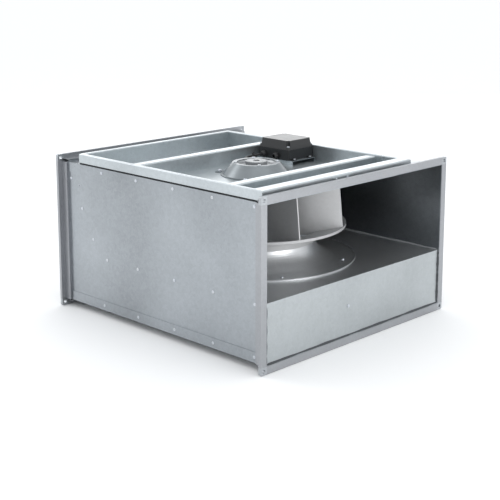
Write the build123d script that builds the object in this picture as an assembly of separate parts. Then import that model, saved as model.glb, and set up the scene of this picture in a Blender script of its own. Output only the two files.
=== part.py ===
from build123d import *
import os
from math import cos, radians, sin, sqrt, tan

# Inline duct fan for a 700 x 400 mm rectangular duct, in millimetres.
# +X is the airflow (the outlet is at +X), +Z is up, and the origin is the centre of the underside.
# Air enters low at -X, rises through the inlet ring into the impeller, and leaves above the
# partition at +X.  The top cover carries the motor and the impeller and lifts off with them.

# ---- driving dimensions ----
DUCT_W, DUCT_H = 700.0, 400.0  # duct opening, along Y and Z
LENGTH = 800.0
FLANGE = 20.0  # height of the flange profile round the shell
SKIN = 1.5  # casing sheet
BOLT_INSET, BOLT_HOLE_R = 10.0, 4.5  # corner bolt from the flange's outer edge

FACE_T, LEG_L, LEG_H, PROFILE_WALL = 9.0, 22.0, 7.0, 1.2  # hollow flange profile
SIDE_STRIP = 27.0  # turned edge of the top and bottom panels on the side panels

MOTOR_X, MOTOR_Y = 65.0, -42.0  # vertical motor axis
IMPELLER_R, EYE_R = 244.0, 163.0
SHROUD_RISE = 10.0  # degrees, slope of the shroud from the eye to the rim
BLADES, BLADE_FIRST = 8, 28.0  # count, and the first tip's angle
BLADE_T = 2.5
ROTOR_R = 69.0
SHAFT_R, BEARING_PLAY = 8.0, 0.05

PARTITION_Z = 176.0  # top of the horizontal partition
RING_R, RING_SCREW_R, RING_HOLE_R, THROAT_R = 271.0, 242.0, 222.0, 158.5
BACKPLATE_Z = 386.0  # underside of the impeller's backplate

TRAY_X0, TRAY_X1, TRAY_Y0, TRAY_Y1 = -325.0, 380.0, -346.0, 232.0
RIM_Z, WELL_Z, SKIRT_Z = 448.0, 402.0, 423.0  # rim top, well floor top, skirt bottom
RIM_SIDE, RIM_INLET, RIM_OUTLET = 12.0, 14.0, 36.0  # rim widths
RIB_W, RIB_TOP = 30.0, 444.0

DOME_R0, DOME_R1, DOME_HOLE_R, DOME_Z1 = 92.0, 65.0, 53.0, 436.0
SHEET_2 = 2.0  # thicker sheet of brackets, dome and impeller

BOX_X, BOX_Y, BOX_LX, BOX_LY = -16.5, 165.25, 116.0, 106.5  # terminal box centre and size
BOX_Z0, BOX_SPLIT, BOX_Z1 = 414.0, 444.0, 470.0
LEAD_R = 3.5

# ---- sizes that follow ----
HALF_L = LENGTH / 2
SIDE_Y = DUCT_W / 2  # outer face of the side panels
BASE_Z, TOP_Z = FLANGE, FLANGE + DUCT_H  # underside and top of the shell
SHEET_END = HALF_L - 1.0
LEG_END = HALF_L - FACE_T - LEG_L
LEG_TOP = TOP_Z + LEG_H
WELL_X0, WELL_X1 = TRAY_X0 + RIM_INLET, TRAY_X1 - RIM_OUTLET
WELL_Y0, WELL_Y1 = TRAY_Y0 + RIM_SIDE, TRAY_Y1 - RIM_SIDE
RIB_X = (-122.0, 240.0)  # inlet side of each rib
RIVET_PITCH, RIVET_R = 145.0, 2.1
RIVET_X = [70.0 + RIVET_PITCH * i for i in range(-2, 3)]
RIVET_TOP_Z, RIVET_BOTTOM_Z = TOP_Z - 12.0, BASE_Z + 14.0
PARTITION_RIVET_X = (-205.0, -75.0, 70.0, 215.0, 360.0)
BAFFLE_RIVET_Z = (215.0, 295.0, 375.0)
RIVET_IN = 9.0  # rivets of a turned flange, from its bend
SCREW_HOLE_R, M5_HOLE_R, M6_HOLE_R = 2.1, 2.6, 3.1
BAFFLE_FOOT_X, BAFFLE_HEAD_X = -232.0, -375.0  # inclined inlet baffle, bottom and top
OUTLET_BAFFLE_X = 396.0
BAFFLE_SCREW_Z = PARTITION_Z - 75.0
GAP = 0.3  # between the cover and the casing where they would touch

NODES = {}


def keep(name, *solids):
    """Files the solids of one node under its name."""
    NODES[name] = Compound(children=list(solids))


def slab(x0, x1, y0, y1, z0, z1):
    """A box between two values on each axis."""
    return Pos((x0 + x1) / 2, (y0 + y1) / 2, (z0 + z1) / 2) * Box(x1 - x0, y1 - y0, z1 - z0)


def rod(radius, z0, z1, x=MOTOR_X, y=MOTOR_Y):
    """A vertical cylinder, on the motor axis unless told otherwise."""
    return Pos(x, y, (z0 + z1) / 2) * Cylinder(radius, z1 - z0)


def pipe(outer, inner, z0, z1, x=MOTOR_X, y=MOTOR_Y):
    return rod(outer, z0, z1, x, y) - rod(inner, z0 - 1, z1 + 1, x, y)


def turned(points):
    """A body turned about the motor axis from (radius, height) points."""
    outline = Plane.XZ * make_face(Polyline(*points, close=True))
    return Pos(MOTOR_X, MOTOR_Y, 0) * revolve(outline, Axis.Z)


def arc_points(centre, radius, start, stop, steps=10):
    """(radius, height) points along an arc, angles in degrees."""
    span = (stop - start) / steps
    angles = [radians(start + span * i) for i in range(steps + 1)]
    return [(centre[0] + radius * cos(a), centre[1] + radius * sin(a)) for a in angles]


def ring_places(count, radius, first=0.0):
    """Points round the motor axis, with the angle of each in degrees."""
    for i in range(count):
        angle = first + 360.0 * i / count
        yield MOTOR_X + radius * cos(radians(angle)), MOTOR_Y + radius * sin(radians(angle)), angle


def group(solids):
    return Compound(children=list(solids))


def rivet(length=5.0):
    """Blind rivet on +Z: domed head with its mandrel dimple, and a shank below z = 0."""
    head = Pos(0, 0, 0.7) * Cylinder(4.2, 1.4)
    head = fillet(head.edges().group_by(Axis.Z)[-1], 1.0)
    dimple = Pos(0, 0, 1.2) * Cylinder(1.2, 1.6)
    return head + Pos(0, 0, -length / 2) * Cylinder(RIVET_R - 0.1, length) - dimple


def pan_screw(head_r=4.5, head_h=2.6, shank_r=2.0, length=7.0):
    """Cross-recess pan-head screw on +Z, with its shank below z = 0."""
    head = Pos(0, 0, head_h / 2) * Cylinder(head_r, head_h)
    head = fillet(head.edges().group_by(Axis.Z)[-1], head_h * 0.45)
    recess = Box(head_r, 0.9, head_h) + Box(0.9, head_r, head_h)
    return head + Pos(0, 0, -length / 2) * Cylinder(shank_r, length) - Pos(0, 0, head_h) * recess


def hex_bolt(shank_r=3.0, length=8.0):
    """Hexagon bolt with a washer on +Z, with its shank below z = 0."""
    washer = Pos(0, 0, 0.8) * Cylinder(shank_r * 2.0, 1.6)
    head = extrude(RegularPolygon(shank_r * 1.8, 6), amount=4.0)
    head &= Pos(0, 0, 1.2) * Cone(shank_r * 2.0 + 1.2, shank_r * 2.0 - 2.6, 6.4)
    return washer + Pos(0, 0, 1.6) * head + Pos(0, 0, -length / 2) * Cylinder(shank_r, length)


def facing_y(x, z, side, shape):
    """A fastener shape placed on a side panel, pointing outwards."""
    return Pos(x, side * (SIDE_Y + SKIN), z) * Rot(-90 * side, 0, 0) * shape


# ---- casing shell ----
def strip_rivets():
    """Rivets through the turned strips of the top and bottom panels."""
    return [(x, z) for x in RIVET_X for z in (RIVET_TOP_Z, RIVET_BOTTOM_Z)]


def baffle_line_x(z):
    """X of the inclined inlet baffle's upper face at a height."""
    share = (z - PARTITION_Z) / (TOP_Z - SKIN - PARTITION_Z)
    return BAFFLE_FOOT_X + share * (BAFFLE_HEAD_X - BAFFLE_FOOT_X)


def plate_rivets():
    """Rivets through the side panels into the partition's and the inlet baffle's flanges."""
    along = [(x, PARTITION_Z - RIVET_IN) for x in PARTITION_RIVET_X]
    rise = [(baffle_line_x(z) - RIVET_IN, z) for z in BAFFLE_RIVET_Z]
    return along + rise


def rivet_holes(places):
    drill = Rot(90, 0, 0) * Cylinder(RIVET_R, 2 * SIDE_Y + 40)
    return group(Pos(x, 0, z) * drill for x, z in places)


def side_panel(side):
    """Flat side panel between the top and bottom panels."""
    y0, y1 = sorted((side * SIDE_Y, side * (SIDE_Y - SKIN)))
    sheet = slab(-SHEET_END, SHEET_END, y0, y1, BASE_Z + SKIN, TOP_Z - SKIN)
    return sheet - rivet_holes(strip_rivets() + plate_rivets())


def channel_panel(z0, z1, edge0, edge1):
    """A top or bottom sheet with its two long edges turned over the side panels."""
    sheet = slab(-SHEET_END, SHEET_END, -SIDE_Y, SIDE_Y, z0, z1)
    for side in (-1, 1):
        y0, y1 = sorted((side * SIDE_Y, side * (SIDE_Y + SKIN)))
        sheet += slab(-LEG_END + 1, LEG_END - 1, y0, y1, min(z0, edge0), max(z1, edge1))
    return sheet


def bottom_panel():
    panel = channel_panel(BASE_Z, BASE_Z + SKIN, BASE_Z, BASE_Z + SIDE_STRIP)
    return panel - rivet_holes(strip_rivets())


def top_panel():
    """Top sheet with the opening for the cover and a turned-down lip round it."""
    panel = channel_panel(TOP_Z - SKIN, TOP_Z, TOP_Z - SIDE_STRIP, TOP_Z)
    gap, lip = 3.0, 10.0
    x0, x1, y0, y1 = WELL_X0 - gap, WELL_X1 + gap, WELL_Y0 - gap, WELL_Y1 + gap
    panel += slab(x0 - SKIN, x1 + SKIN, y0 - SKIN, y1 + SKIN, TOP_Z - lip, TOP_Z - SKIN)
    panel -= slab(x0, x1, y0, y1, TOP_Z - lip - 1, TOP_Z + 1)
    return panel - rivet_holes(strip_rivets()) - holddown_holes(-1)


# ---- flange profiles and corner brackets ----
def profile_outline(a_sign):
    """Hollow L section: across (from the flange face inwards) and up (from the shell)."""
    def points(i):
        far, leg, face, top = FACE_T + LEG_L - i, LEG_H - i, FACE_T - i, FLANGE - i
        return [(i, i), (far, i), (far, leg), (face, leg), (face, top), (i, top)]

    def section(i):
        return make_face(Polyline(*[(a_sign * a, h) for a, h in points(i)], close=True))

    return section(0) - section(PROFILE_WALL)


def flange_profile(end, edge):
    """One hollow profile of a flange; end is -1 or 1, edge is top, bottom, left or right."""
    half = DUCT_H / 2 if edge in ("left", "right") else DUCT_W / 2
    bar = extrude(Plane.XZ * profile_outline(-end), amount=half, both=True)
    reach = DUCT_W / 2 if edge in ("left", "right") else DUCT_H / 2
    turn = {"top": 0, "left": -90, "bottom": 180, "right": 90}[edge]
    middle = Pos(end * HALF_L, 0, BASE_Z + DUCT_H / 2)
    bar = middle * Rot(turn, 0, 0) * Pos(0, 0, reach) * bar
    return bar - holddown_holes(1) if (end, edge) == (1, "top") else bar


def corner_bracket(end, y_side, z_side):
    """Corner plate of the flange, with an arm into each hollow profile and the bolt hole."""
    arm, inset, depth, back = 45.0, 1.6, 4.6, 2.0
    width = FLANGE - 2 * inset
    plate = Box(FACE_T, FLANGE, FLANGE, align=(Align.MIN, Align.MIN, Align.MIN))
    plate = fillet(plate.edges().filter_by(Axis.X).sort_by(Axis.Y)[-2:].sort_by(Axis.Z)[-1:], 4.0)
    side_arm = Box(depth, arm, width, align=(Align.MIN, Align.MAX, Align.MIN))
    down_arm = Box(depth, width, arm, align=(Align.MIN, Align.MIN, Align.MAX))
    hole = Pos(0, FLANGE - BOLT_INSET, FLANGE - BOLT_INSET) * Rot(0, 90, 0) * Cylinder(BOLT_HOLE_R, 40)
    bracket = plate + Pos(back, 0, inset) * side_arm + Pos(back, inset, 0) * down_arm - hole
    bracket = Pos(0, DUCT_W / 2, DUCT_H / 2) * bracket
    if y_side < 0:
        bracket = mirror(bracket, Plane.XZ)
    if z_side < 0:
        bracket = mirror(bracket, Plane.XY)
    if end > 0:
        bracket = mirror(bracket, Plane.YZ)
    return Pos(end * HALF_L, 0, BASE_Z + DUCT_H / 2) * bracket


# ---- partition, baffles and inlet ring ----
FLANGE_DOWN = 18.0


def partition_plate():
    """Horizontal partition with side flanges riveted to the side panels."""
    y = SIDE_Y - SKIN
    plate = slab(BAFFLE_FOOT_X, OUTLET_BAFFLE_X - SKIN, -y, y, PARTITION_Z - SKIN, PARTITION_Z)
    plate -= rod(RING_HOLE_R, PARTITION_Z - 5, PARTITION_Z + 5)
    x0, x1, z0, z1 = BAFFLE_FOOT_X + 22, OUTLET_BAFFLE_X - 4, PARTITION_Z - FLANGE_DOWN, PARTITION_Z - SKIN
    for side in (-1, 1):
        y0, y1 = sorted((side * y, side * (y - SKIN)))
        plate += slab(x0, x1, y0, y1, z0, z1)
    return plate - ring_drills() - rivet_holes(plate_rivets())


def inlet_baffle():
    """Inclined plate that closes the inlet above the partition, with side flanges."""
    y = SIDE_Y - SKIN
    z0, z1 = PARTITION_Z, TOP_Z - SKIN
    upper = [(BAFFLE_FOOT_X, z0), (BAFFLE_HEAD_X, z1)]
    lower = [(x - 2 * SKIN, z) for x, z in upper]
    outline = make_face(Polyline(*upper, *reversed(lower), close=True))
    sheet = extrude(Plane.XZ * outline, amount=y, both=True)
    wide = 20.0
    web = [*lower, (lower[1][0] - wide, z1), (lower[0][0] - wide, z0)]
    for side in (-1, 1):
        flange = extrude(Plane.XZ * make_face(Polyline(*web, close=True)), amount=SKIN / 2, both=True)
        sheet += Pos(0, side * (y - SKIN / 2), 0) * flange
    return sheet - rivet_holes(plate_rivets())


def outlet_baffle():
    """Upright plate that closes the outlet below the partition."""
    y = SIDE_Y - SKIN
    z0, z1 = BASE_Z + SKIN, PARTITION_Z
    x1 = OUTLET_BAFFLE_X
    plate = slab(x1 - SKIN, x1, -y, y, z0, z1)
    plate += slab(x1 - 20, x1 - SKIN, -y + 4, y - 4, z0, z0 + SKIN)
    screw = Pos(x1, MOTOR_Y, BAFFLE_SCREW_Z) * Rot(0, 90, 0) * Cylinder(SCREW_HOLE_R, 20)
    return plate - screw


def inlet_ring():
    """Spun inlet ring: flat flange, concave bowl, and the nozzle that enters the impeller."""
    bend_r = 59.5
    centre = (THROAT_R + bend_r, PARTITION_Z + bend_r)
    inner = arc_points(centre, bend_r, 270, 180, 14)
    outer = arc_points(centre, bend_r - SKIN, 180, 270, 14)
    top = PARTITION_Z + SKIN
    lip = [(RING_R, top + 2.5), (RING_R + SKIN, top + 2.5), (RING_R + SKIN, PARTITION_Z)]
    ring = turned([*inner, *outer, (RING_R, top), *lip])
    return ring - ring_drills()


def ring_screw_places():
    return list(ring_places(6, RING_SCREW_R, -30.0))


def ring_drills():
    return group(Pos(x, y, 0) * Cylinder(SCREW_HOLE_R, 500) for x, y, angle in ring_screw_places())


def sheet_screws():
    """Pan-head screws of the inlet ring, and the one in the outlet baffle."""
    for x, y, angle in ring_screw_places():
        yield Pos(x, y, PARTITION_Z + SKIN) * Rot(0, 0, angle) * pan_screw()
    yield Pos(OUTLET_BAFFLE_X, MOTOR_Y, BAFFLE_SCREW_Z) * Rot(0, 90, 0) * pan_screw()


# ---- top cover ----
HOLD_Y = (TRAY_Y0 + TRAY_Y1) / 2
HOLD_HALF = 36.0
HOLD_SCREW_Y = (HOLD_Y - 22.0, HOLD_Y + 22.0)
HOLD_X = {-1: -342.0, 1: 386.2}  # hold-down screws, at the inlet and the outlet end
HOLD_END_X = {-1: -354.0, 1: 390.5}  # far edge of each hold-down bracket's foot
HOLD_WALL_X = {-1: TRAY_X0, 1: TRAY_X1}
HOLD_FOOT_Z = {-1: TOP_Z + GAP, 1: LEG_TOP + GAP}
HOLD_WALL_Z = RIM_Z - 10.0  # screws through the tray's end wall
FOOT_W = 12.0  # foot flange under the cover's rim


def holddown_holes(end):
    """Clearance holes for the cover's hold-down screws."""
    return group(rod(2.8, TOP_Z - 4, RIM_Z, HOLD_X[end], y) for y in HOLD_SCREW_Y)


def wall_holes(end):
    """Holes for the screws that hold a bracket on the tray's end wall."""
    drill = Rot(0, 90, 0) * Cylinder(SCREW_HOLE_R, 10)
    return group(Pos(HOLD_WALL_X[end], y, HOLD_WALL_Z) * drill for y in HOLD_SCREW_Y)


def holddown_bracket(end):
    """Angle on the tray's end wall that is screwed down at the casing."""
    foot_z, wall_x = HOLD_FOOT_Z[end], HOLD_WALL_X[end]
    y0, y1 = HOLD_Y - HOLD_HALF, HOLD_Y + HOLD_HALF
    x0, x1 = sorted((wall_x, wall_x + end * SHEET_2))
    leaf = slab(x0, x1, y0, y1, foot_z, RIM_Z - 5)
    x0, x1 = sorted((wall_x, HOLD_END_X[end]))
    leaf += slab(x0, x1, y0, y1, foot_z, foot_z + SHEET_2)
    return leaf - holddown_holes(end) - wall_holes(end)


def holddown_screws():
    for end in (-1, 1):
        for y in HOLD_SCREW_Y:
            yield Pos(HOLD_X[end], y, HOLD_FOOT_Z[end] + SHEET_2) * pan_screw(4.0, 2.4, 2.5, 3.6)
            wall = Pos(HOLD_WALL_X[end] + end * SHEET_2, y, HOLD_WALL_Z) * Rot(0, 90 * end, 0)
            yield wall * pan_screw(3.6, 2.2, 2.0, 3.4)


def frame(inset, z0, z1, round_r=0.0):
    """A rectangular frame that follows the tray's rim, set in from its outer and inner edges."""
    i = inset
    body = slab(TRAY_X0 + i, TRAY_X1 - i, TRAY_Y0 + i, TRAY_Y1 - i, z0, z1)
    body -= slab(WELL_X0 - i, WELL_X1 + i, WELL_Y0 - i, WELL_Y1 + i, z0 - 1, z1 + 1)
    return fillet(body.edges().group_by(Axis.Z)[-1], round_r) if round_r else body


def cover_tray():
    """Sunken top cover: rolled rim, outer skirt with a foot flange, and the motor well."""
    tray = frame(0, SKIRT_Z, RIM_Z, 3.0)
    tray -= frame(SKIN, SKIRT_Z + SKIN, RIM_Z - SKIN, 1.5)
    tray -= frame(FOOT_W, SKIRT_Z - 1, SKIRT_Z + 2 * SKIN)
    x0, x1, y0, y1 = WELL_X0 - SKIN, WELL_X1 + SKIN, WELL_Y0 - SKIN, WELL_Y1 + SKIN
    well = slab(x0, x1, y0, y1, WELL_Z - SKIN, SKIRT_Z + 4)
    tray += well - slab(WELL_X0, WELL_X1, WELL_Y0, WELL_Y1, WELL_Z, RIM_Z)
    tray -= over_outlet_leg()
    tray -= rod(80.0, WELL_Z - 5, WELL_Z + 5)
    drills = [rod(M6_HOLE_R, WELL_Z - 5, WELL_Z + 5, x, y) for x, y, angle in lug_places()]
    return tray - group(drills) - wall_holes(-1) - wall_holes(1)


def over_outlet_leg():
    """The skirt is cut back at the outlet end, where it passes over the flange's leg."""
    return slab(LEG_END - 1, TRAY_X1 + 1, TRAY_Y0 - 1, TRAY_Y1 + 1, SKIRT_Z - 1, LEG_TOP + GAP + 0.2)


def cover_gasket():
    """Foam seal on the top panel under the cover's foot flange."""
    inset, width = 1.5, 7.0
    x0, x1, y0, y1 = TRAY_X0 + inset, WELL_X1 + 11.5, TRAY_Y0 + inset, TRAY_Y1 - inset
    ring = slab(x0, x1, y0, y1, TOP_Z, SKIRT_Z - GAP)
    return ring - slab(x0 + width, x1 - width, y0 + width, y1 - width, TOP_Z - 1, SKIRT_Z)


def tray_rib(x0):
    """Inverted channel across the well, with a rounded top."""
    y0, y1 = WELL_Y0 + 0.5, WELL_Y1 - 0.5
    rib = slab(x0, x0 + RIB_W, y0, y1, WELL_Z, RIB_TOP)
    rib = fillet(rib.edges().filter_by(Axis.Y).group_by(Axis.Z)[-1], 4.0)
    return rib - slab(x0 + SKIN, x0 + RIB_W - SKIN, y0 - 1, y1 + 1, WELL_Z - 1, RIB_TOP - SKIN)


# ---- motor ----
LUG_R, LUG_FIRST = 104.0, -62.0
FRAME_SCREW_R, FRAME_SCREW_FIRST = 57.5, -128.0
STATOR_R, STATOR_Z0, STATOR_Z1 = 59.2, 325.0, 392.0


def lug_places():
    return list(ring_places(4, LUG_R, LUG_FIRST))


def motor_dome():
    """Conical motor carrier on the well floor, with four fixing lugs and the lead's hole."""
    z0, z1, t = WELL_Z, DOME_Z1, SHEET_2
    slant = t * 1.35
    dome = turned([
        (DOME_R0 + 6, z0), (DOME_R0 + 6, z0 + t), (DOME_R0, z0 + t), (DOME_R1, z1),
        (DOME_HOLE_R, z1), (DOME_HOLE_R, z1 - t), (DOME_R1 - slant + 0.9, z1 - t), (DOME_R0 - slant, z0),
    ])
    for x, y, angle in lug_places():
        lug = Pos(x, y, WELL_Z + t / 2) * Rot(0, 0, angle) * Box(22, 22, t)
        dome += lug - rod(DOME_R0 + 2, WELL_Z - 1, WELL_Z + 9)
    drills = [rod(M6_HOLE_R, WELL_Z - 5, WELL_Z + 9, x, y) for x, y, angle in lug_places()]
    drills += [rod(M5_HOLE_R, z1 - 9, z1 + 3, x, y) for x, y, angle in frame_screw_places()]
    drills.append(along_lead(7.1, -12.0, 12.0))
    return dome - group(drills)


def frame_screw_places():
    return list(ring_places(4, FRAME_SCREW_R, FRAME_SCREW_FIRST))


def stator_flange():
    """Motor end plate: bolting ring under the dome's top, dished web, hub and bearing tube."""
    top = DOME_Z1 - SHEET_2
    plate = turned([
        (17.6, 318.0), (19.5, 318.0), (19.5, 422.0), (46.0, 422.0), (52.0, 426.0), (60.5, 426.0),
        (60.5, top), (54.0, top), (50.5, top - 6), (30.0, top - 6), (30.0, top + 5), (28.0, top + 6),
        (9.0, top + 6), (9.0, top - 4), (17.6, top - 4),
    ])
    drills = [rod(M5_HOLE_R, 420, top + 1, x, y) for x, y, angle in frame_screw_places()]
    return plate - group(drills)


def stator_core():
    """Laminated stack with twelve winding slots, fixed on the bearing tube."""
    core = pipe(STATOR_R, 19.6, STATOR_Z0, STATOR_Z1)
    slots = []
    for x, y, angle in ring_places(12, 46.0):
        cut = Pos(x, y, (STATOR_Z0 + STATOR_Z1) / 2) * Rot(0, 0, angle)
        slots.append(cut * Box(16, 7, 200))
        slots.append(cut * Pos(11, 0, 0) * Box(8, 2.5, 200))
    return core - group(slots)


def stator_winding():
    """Two wound end rings joined by a coil side in every slot."""
    rings = [pipe(54.0, 32.0, STATOR_Z1 + 0.2, 404.0), pipe(54.0, 32.0, 313.0, STATOR_Z0 - 0.2)]
    coil = rings[0] + rings[1]
    bar = Box(14, 6.4, STATOR_Z1 - STATOR_Z0 + 4)
    for x, y, angle in ring_places(12, 46.0):
        coil += Pos(x, y, (STATOR_Z0 + STATOR_Z1) / 2) * Rot(0, 0, angle) * bar
    return coil


def motor_bearings():
    for z0 in (322.0, 408.0):
        yield pipe(17.55, SHAFT_R + BEARING_PLAY, z0, z0 + 14.0)


def rotor_shell():
    """External rotor cup, open at the top, with cooling fins below and the impeller's flange."""
    inner = 60.0
    cup = turned([
        (SHAFT_R + 0.02, 286.0), (20.0, 286.0), (24.0, 296.0), (ROTOR_R - 8, 300.0), (ROTOR_R, 308.0),
        (ROTOR_R, BACKPLATE_Z - 5), (86.0, BACKPLATE_Z - 5), (86.0, BACKPLATE_Z), (ROTOR_R, BACKPLATE_Z),
        (ROTOR_R, 402.0), (inner, 402.0), (inner, 310.0), (56.0, 306.0), (26.0, 304.0), (22.0, 316.0),
        (SHAFT_R + 0.02, 316.0),
    ])
    drills = [rod(M6_HOLE_R, BACKPLATE_Z - 9, BACKPLATE_Z + 1, x, y) for x, y, angle in hub_bolt_places()]
    return cup - group(drills)


def rotor_shaft():
    shaft = rod(SHAFT_R, 284.0, 428.0)
    return chamfer(shaft.edges().group_by(Axis.Z)[-1], 0.8)


# ---- impeller ----
SHROUD_BEND = 24.0
SHROUD_T = 2.0
NECK_Z0, NECK_Z1 = 226.0, 238.0


def hub_bolt_places():
    return list(ring_places(6, 77.5, 30.0))


def shroud_lines():
    """Upper and lower surfaces of the shroud, from the neck out to the rim."""
    centre = (EYE_R + SHROUD_BEND, NECK_Z1)
    stop = 90.0 + SHROUD_RISE
    upper = arc_points(centre, SHROUD_BEND, 180, stop)
    lower = arc_points(centre, SHROUD_BEND - SHROUD_T, stop, 180)
    for line, i in ((upper, -1), (lower, 0)):
        radius, height = line[i]
        rim = (IMPELLER_R, height + (IMPELLER_R - radius) * tan(radians(SHROUD_RISE)))
        line.insert(len(line) if i else 0, rim)
    return upper, lower


def impeller_shroud():
    """Spun shroud: neck round the nozzle, bend, sloping disc, and a turned-down rim."""
    upper, lower = shroud_lines()
    rim_z = upper[-1][1]
    lip = [(IMPELLER_R + SHROUD_T, rim_z), (IMPELLER_R + SHROUD_T, rim_z - 7), (IMPELLER_R, rim_z - 7)]
    return turned([(EYE_R, NECK_Z0), *upper, *lip, *lower, (EYE_R + SHROUD_T, NECK_Z0)])


def impeller_backplate():
    plate = pipe(IMPELLER_R - 8, ROTOR_R + 0.2, BACKPLATE_Z, BACKPLATE_Z + SHEET_2)
    drills = [rod(M6_HOLE_R, BACKPLATE_Z - 2, BACKPLATE_Z + 5, x, y) for x, y, angle in hub_bolt_places()]
    return plate - group(drills)


def blade_space():
    """The room between the shroud and the backplate, tapering towards the backplate."""
    upper, lower = shroud_lines()
    gap, inner_r = 0.1, 120.0
    floor = [(r, z + gap) for r, z in upper[4:]]
    return turned([(inner_r, BACKPLATE_Z), (inner_r, floor[0][1]), *floor, (IMPELLER_R - 9, BACKPLATE_Z)])


def impeller_blade(angle, space):
    """Backward-curved blade: one arc in plan, cut to the room between shroud and backplate."""
    root_r, tip_r, sweep, bow = 126.0, IMPELLER_R + 12, 19.0, 8.0
    root = (root_r * cos(radians(-sweep)), root_r * sin(radians(-sweep)))
    tip = (tip_r, 0.0)
    length = sqrt((tip[0] - root[0]) ** 2 + (tip[1] - root[1]) ** 2)
    ux, uy = (tip[0] - root[0]) / length, (tip[1] - root[1]) / length
    middle = ((root[0] + tip[0]) / 2 + uy * bow, (root[1] + tip[1]) / 2 - ux * bow)
    path = ThreePointArc(root, middle, tip)
    strip = trace(path, BLADE_T)
    blade = extrude(strip, amount=BACKPLATE_Z - NECK_Z0)
    blade = Pos(MOTOR_X, MOTOR_Y, NECK_Z0) * Rot(0, 0, angle) * blade
    return blade & space


def balance_clips():
    """Two spring clips pinched on the edge of the backplate."""
    edge = IMPELLER_R - 8
    clip = Box(18, 14, 5) - Pos(-4, 0, 0) * Box(20, 20, SHEET_2)
    for angle in (82.0, 217.0):
        place = Pos(MOTOR_X, MOTOR_Y, BACKPLATE_Z + SHEET_2 / 2) * Rot(0, 0, angle)
        yield place * Pos(edge - 6, 0, 0) * clip


# ---- terminal box and motor lead ----
LEAD_ANGLE = 150.0
LEAD_Z = 424.0
GLAND_X, MAINS_GLAND_X = -52.0, -4.0
MAINS_BORE_R = 5.0
BOX_SOUTH = BOX_Y - BOX_LY / 2


def lead_start():
    radius = DOME_R0 - (DOME_R0 - DOME_R1) * (LEAD_Z - WELL_Z) / (DOME_Z1 - WELL_Z)
    return MOTOR_X + radius * cos(radians(LEAD_ANGLE)), MOTOR_Y + radius * sin(radians(LEAD_ANGLE))


def along_lead(radius, t0, t1):
    """A cylinder along the lead's first run, measured from the dome's surface."""
    x, y = lead_start()
    place = Pos(x, y, LEAD_Z) * Rot(0, 0, LEAD_ANGLE) * Rot(0, 90, 0)
    return place * Pos(0, 0, (t0 + t1) / 2) * Cylinder(radius, t1 - t0)


def motor_lead():
    """Lead from the dome's grommet to the box's gland: two runs and one wide bend."""
    x, y = lead_start()
    dx, dy = cos(radians(LEAD_ANGLE)), sin(radians(LEAD_ANGLE))
    inside, into_gland = 9.0, 6.0
    reach = (GLAND_X - x) / dx
    corner = (GLAND_X, y + reach * dy, LEAD_Z)
    end = (GLAND_X, BOX_SOUTH + into_gland, LEAD_Z)
    start = (x - inside * dx, y - inside * dy, LEAD_Z)
    run = min(reach + inside, end[1] - corner[1])
    bend = 0.45 * run / tan(radians(LEAD_ANGLE - 90) / 2)
    print("motor lead bend radius", round(bend, 1))
    path = FilletPolyline(start, corner, end, radius=bend)
    section = Plane(origin=path @ 0, z_dir=path % 0) * Circle(LEAD_R)
    return sweep(section, path)


def lead_grommet():
    body = along_lead(7.0, -6.0, 10.0) + along_lead(9.0, 10.0, 12.5)
    return body - along_lead(LEAD_R + 0.1, -20.0, 20.0)


def cable_glands():
    """Lead gland and mains gland, side by side on the box's wall that faces the motor."""
    def gland(bore):
        nut = extrude(RegularPolygon(11.0, 6), amount=5.0)
        dome = Pos(0, 0, 9.0) * Cone(9.5, 7.0, 8.0)
        thread = Pos(0, 0, -1.5) * Cylinder(7.9, 3.0)
        return nut + dome + thread - Cylinder(bore, 60)

    for x, bore in ((GLAND_X, LEAD_R + 0.1), (MAINS_GLAND_X, MAINS_BORE_R)):
        yield Pos(x, BOX_SOUTH, LEAD_Z) * Rot(90, 0, 0) * gland(bore)


POST_IN = 5.5  # lid screws from the box's outer walls
POST_X, POST_Y = BOX_LX / 2 - POST_IN, BOX_LY / 2 - POST_IN
BOX_WALL = 2.5
LID_SCREW_Z = BOX_SPLIT + 8.0


def box_corners():
    return [(BOX_X + i * POST_X, BOX_Y + j * POST_Y) for i in (-1, 1) for j in (-1, 1)]


def box_block(z0, z1, inset=0.0, draft=0.0):
    """Terminal box block with rounded corners, its top drawn in by the draft."""
    lx, ly, corner = BOX_LX - 2 * inset, BOX_LY - 2 * inset, 5 - inset / 2
    low = Pos(BOX_X, BOX_Y, z0) * RectangleRounded(lx, ly, corner)
    if not draft:
        return extrude(low, amount=z1 - z0)
    high = Pos(BOX_X, BOX_Y, z1) * RectangleRounded(lx - 2 * draft, ly - 2 * draft, corner)
    return loft([low.face(), high.face()])


def terminal_box_base():
    """Box body with four screw posts, two gland holes, and lugs at its foot."""
    floor_z = BOX_Z0 + BOX_WALL
    base = box_block(BOX_Z0, BOX_SPLIT) - box_block(floor_z, BOX_SPLIT + 1, BOX_WALL)
    for x, y in box_corners():
        base += rod(6.0, BOX_Z0, BOX_SPLIT, x, y) & box_block(BOX_Z0, BOX_SPLIT)
        base -= rod(SCREW_HOLE_R, BOX_Z0 + 6, BOX_SPLIT + 1, x, y)
    for x, y in lug_screw_places():
        base += slab(min(x - 5, BOX_X), max(x + 5, BOX_X), y - 5, y + 5, BOX_Z0, floor_z)
        base -= rod(SCREW_HOLE_R, BOX_Z0 - 1, BOX_Z0 + 9, x, y)
    entry = Rot(90, 0, 0) * Cylinder(8.0, 8)
    return base - group(Pos(x, BOX_SOUTH, LEAD_Z) * entry for x in (GLAND_X, MAINS_GLAND_X))


def lug_screw_places():
    reach = BOX_LX / 2 + 5
    return [(BOX_X + i * reach, BOX_Y + j * 33.0) for i in (-1, 1) for j in (-1, 1)]


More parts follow.
